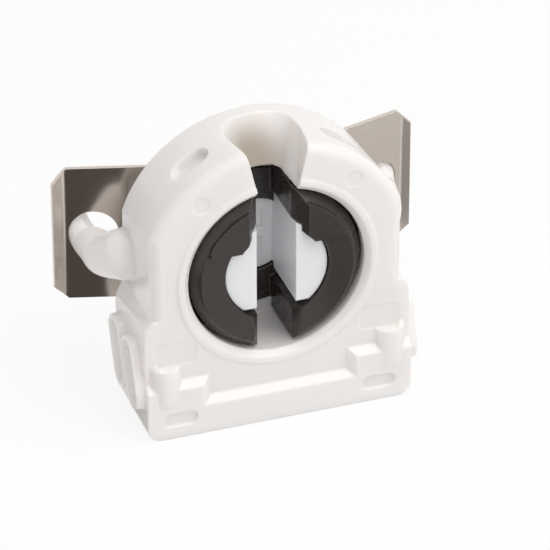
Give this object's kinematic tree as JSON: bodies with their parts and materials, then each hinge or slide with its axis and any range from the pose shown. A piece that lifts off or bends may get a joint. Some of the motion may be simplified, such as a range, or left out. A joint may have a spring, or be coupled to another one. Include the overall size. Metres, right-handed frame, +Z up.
{
  "type": "rotor lamp holder",
  "caption": "Arch-shaped moulded lamp holder for bi-pin tubes, with a turning rotor, side wire entries and a swept spring plate on its back.",
  "frame": {"origin": "on the base's bottom face, under the rotor axis and in line with the arch's front face", "axes": "+X to the right across the front, +Y from the lamp side to the back, +Z up along the notch"},
  "size_m": [0.0362, 0.0166, 0.0292],
  "materials": {
    "white_moulding": "satin moulded plastic",
    "cool_white_moulding": "satin moulded plastic",
    "dark_moulding": "satin moulded plastic",
    "contact_bronze": "rolled strip",
    "spring_steel": "bright rolled sheet"
  },
  "bodies": {
    "holder": {"housing": "white_moulding", "rear_cover": "cool_white_moulding", "core": "cool_white_moulding", "contact_left": "contact_bronze", "contact_right": "contact_bronze", "spring_plate": "spring_steel"},
    "rotor": {"rotor": "dark_moulding"}
  },
  "joints": [
    {"name": "rotor_turn", "type": "hinge", "parent": "holder", "child": "rotor", "pos_m": [0, 0.004, 0.016], "axis": [0, 1, 0], "range_deg": [-90, 90]}
  ]
}
